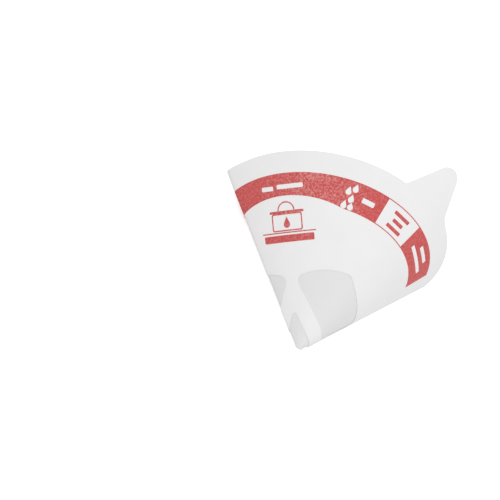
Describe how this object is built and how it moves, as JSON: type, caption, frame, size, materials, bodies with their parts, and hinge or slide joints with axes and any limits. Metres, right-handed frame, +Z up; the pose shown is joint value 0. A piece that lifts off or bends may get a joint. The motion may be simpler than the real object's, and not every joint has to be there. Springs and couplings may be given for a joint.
{
  "type": "paint strainer",
  "caption": "Cone of white printed card with cut-out windows, lined with fine mesh, for straining paint; two rim tabs.",
  "frame": {"origin": "centre of the bounding box in X and Y, on the surface that the cone lies on", "axes": "+Z up from the surface; +Y along the line that the cone lies on, from its tip towards its mouth; +X across the mouth, to the right of someone who looks along +Y"},
  "size_m": [0.1738, 0.1638, 0.1137],
  "materials": {
    "card": "uncoated white card, printed with a red band",
    "nylon_mesh": "fine woven nylon mesh"
  },
  "bodies": {
    "root": {"paper_cone": "card", "mesh_filter": "nylon_mesh"}
  },
  "joints": []
}
